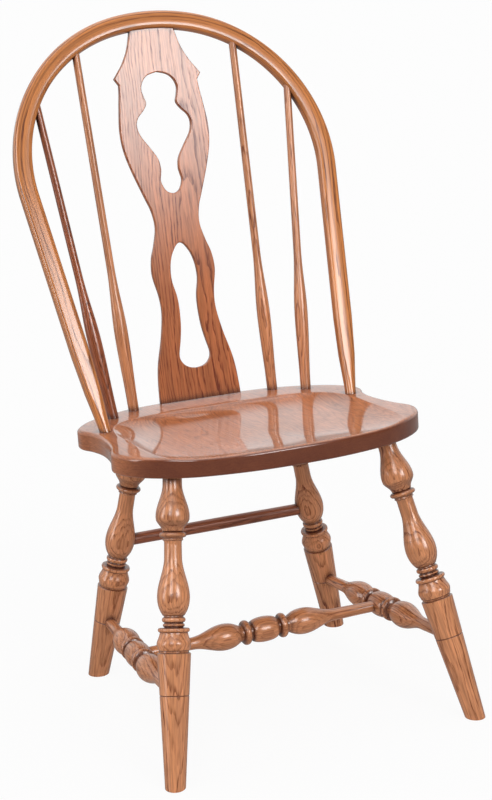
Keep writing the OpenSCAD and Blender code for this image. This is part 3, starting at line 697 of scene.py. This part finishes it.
RUNS = {"leg_front": FRONT_LEG, "leg_rear": REAR_LEG, "stretcher_side": (side_rear, side_front)}
# Each spindle's foot on the seat, and how high up the bow's plane its top meets the bow
for word, x, y, h in (("outer", 171.0, 113.2, 528.0), ("inner", 124.2, 147.0, 615.5)):
    top_x = SHOULDER_X + math.sqrt((SHOULDER_R - BOW_W / 2) ** 2 - (h - SHOULDER_H) ** 2)
    RUNS[f"spindle_{word}"] = ((x, y, rim_z(y)), bow_place(top_x, h, 0))
print("runs:", ", ".join(RUNS))

# %% Turned pieces
# How far each tree's heart lay outside the piece in mm, and its azimuth in degrees
HEARTS = {"leg_front_left": (36, 158), "leg_front_right": (34, 125), "leg_rear_left": (38, 170),
          "leg_rear_right": (33, 150), "stretcher_side_left": (40, 60), "stretcher_side_right": (44, -80),
          "spindle_outer_left": (30, 200), "spindle_inner_left": (34, 70), "spindle_inner_right": (22, 160),
          "spindle_outer_right": (30, 110), "stretcher_middle": (38, 150), "stretcher_rear": (40, 100)}


def on_side(point, side):
    """A point of the right half, kept where side is 1 and taken to the left where it is -1."""
    return side * point[0], point[1], point[2]


for hand, side in (("left", -1), ("right", 1)):
    for word, (a, b) in RUNS.items():
        name = f"{word}_{hand}"
        stock = DARK_STOCK_AND_SHADE if name == "spindle_outer_left" else ROUND
        ring, bold = (2.4, 1.2) if word.startswith("spindle") else (3.4, 1.1)
        turned_finish(name, on_side(a, side), on_side(b, side), *HEARTS[name], stock, ring, bold)
# These two run across the chair, from left to right. The rear one's dark colour is painted shade from the seat
# above it, and its lacquer is the dullest
for name, end, stock, film in (("stretcher_middle", middle_end, ROUND, 0.2),
                               ("stretcher_rear", rear_end, DARK_STOCK_AND_SHADE, 0.5)):
    turned_finish(name, on_side(end, -1), tuple(end), *HEARTS[name], stock, film=film)
print("turned pieces:", sum(1 for n in nodes if nodes[n].modifiers))

# %% [markdown]
# ## The studio
#
# The chair stands in a white studio. A pale floor keeps its shadow, and the world is
# the white surround: it shows as plain white behind the chair and in the lacquer.
# Area lamps could light it, but the lacquer would mirror their hard outlines. So the
# soft lights are drawn into the surround as bright patches with soft edges: one at
# the front right, a weaker one at the front left, a narrow one at the left side, and
# a wide dim one overhead.

# %% Floor
SPAN = 60  # half the floor's width, in metres
SUNK = 0.0002  # the floor lies this far under the feet, so that the two don't flicker
WHITE_SHARE = 0.93  # how much of the floor is plain white to the camera, and the rest keeps the shadow
MIRRORED_LESS = -0.7  # the floor's white is dimmer in the lacquer


def seen_and_mirrored(tree):
    """Two switches: rays from the camera, and rays that gloss or glass sent on."""
    seen, gloss, glass = (add(tree, "LightPath", None, f"Is {ray} Ray")
                          for ray in ("Camera", "Glossy", "Transmission"))
    return seen, add(tree, "Math", {0: gloss, 1: glass}, operation="MAXIMUM")


floor_mesh = bpy.data.meshes.new("floor")
floor_mesh.from_pydata([(-SPAN, -SPAN, 0), (SPAN, -SPAN, 0), (SPAN, SPAN, 0), (-SPAN, SPAN, 0)], [], [(0, 1, 2, 3)])
floor = bpy.data.objects.new("floor", floor_mesh)
bpy.context.scene.collection.objects.link(floor)
floor.location.z = -SUNK
paint = bpy.data.materials.new("white_floor_paint")
tree = empty_tree(paint)
seen, mirrored = seen_and_mirrored(tree)
dimmer = add(tree, "Math", {0: mirrored, 1: MIRRORED_LESS, 2: 1.0}, operation="MULTIPLY_ADD")
shown = add(tree, "Math", {0: seen, 1: mirrored}, operation="MAXIMUM")
cover = add(tree, "Math", {0: shown, 1: WHITE_SHARE}, operation="MULTIPLY")
matt = add(tree, "BsdfDiffuse", {"Color": linear("#dcdcdc")})
glow = add(tree, "Emission", {"Color": (1, 1, 1, 1), "Strength": dimmer})
both = add(tree, "MixShader", {0: cover, 1: matt, 2: glow})
add(tree, "OutputMaterial", {"Surface": both})
floor_mesh.materials.append(paint)
print("floor", 2 * SPAN, "m wide")

# %% Surround
AMBIENT = 0.4  # the surround's brightness for matt surfaces
FRONT_GLOSS, REAR_GLOSS = 0.1, 1.0  # and in the lacquer, toward the front and the rear

world = bpy.data.worlds.new("studio")
bpy.context.scene.world = world
tree = empty_tree(world)
seen, mirrored = seen_and_mirrored(tree)
direction = add(tree, "TexCoord", None, "Generated")
sideways, forth, upward = (add(tree, "SeparateXYZ", {0: direction}, k) for k in ("X", "Y", "Z"))
frontward = add(tree, "Math", {0: forth, 1: -1.0}, operation="MULTIPLY")
azimuth = add(tree, "Math", {0: sideways, 1: frontward}, operation="ARCTAN2")
elevation = add(tree, "Math", {0: upward}, operation="ARCSINE")
# The two brightnesses blend from 20 degrees before the chair's side to 20 degrees behind it
rear = add(tree, "MapRange", {0: forth, 1: -0.35, 2: 0.35, 3: FRONT_GLOSS, 4: REAR_GLOSS}, **EASED)
extra = add(tree, "Math", {0: rear, 1: AMBIENT}, operation="SUBTRACT")
lit = add(tree, "Math", {0: mirrored, 1: extra, 2: AMBIENT}, operation="MULTIPLY_ADD")
print("surround:", AMBIENT, FRONT_GLOSS, REAR_GLOSS)

# %% Soft lights
MATT_SHARE = 0.45  # how much of the lights' strength reaches matt surfaces
# Azimuth from the chair's front toward its right and half width, elevation and half height,
# the softness of the edge, all in degrees, and the strength
LIGHTS = {"front right": (17, 9, 27, 6, 8, 13.5), "front left": (-38, 9, 38, 10, 9, 8.0),
          "left side": (-92, 5, 20, 16, 6, 6.0), "overhead": (0, 180, 90, 20, 25, 2.5)}
share = add(tree, "Math", {0: mirrored, 1: 1 - MATT_SHARE, 2: MATT_SHARE}, operation="MULTIPLY_ADD")
for az, half_az, el, half_el, soft, strength in LIGHTS.values():
    patch = share
    for angle, middle, half in ((azimuth, az, half_az), (elevation, el, half_el)):
        off = add(tree, "Math", {0: angle, 1: math.radians(middle)}, operation="SUBTRACT")
        off = add(tree, "Math", {0: off}, operation="ABSOLUTE")
        within = add(tree, "MapRange", {0: off, 1: math.radians(half + soft), 2: math.radians(half)}, **EASED)
        patch = add(tree, "Math", {0: patch, 1: within}, operation="MULTIPLY")
    lit = add(tree, "Math", {0: patch, 1: strength, 2: lit}, operation="MULTIPLY_ADD")
print("soft lights:", ", ".join(LIGHTS))

# %% Plain white behind the chair
white = add(tree, "Math", {0: 1.0, 1: lit}, operation="SUBTRACT")
shown = add(tree, "Math", {0: seen, 1: white, 2: lit}, operation="MULTIPLY_ADD")
background = add(tree, "Background", {"Color": (1, 1, 1, 1), "Strength": shown})
add(tree, "OutputWorld", {"Surface": background})
bpy.context.scene.view_settings.view_transform = "Standard"
print("studio:", len(tree.nodes), "nodes")
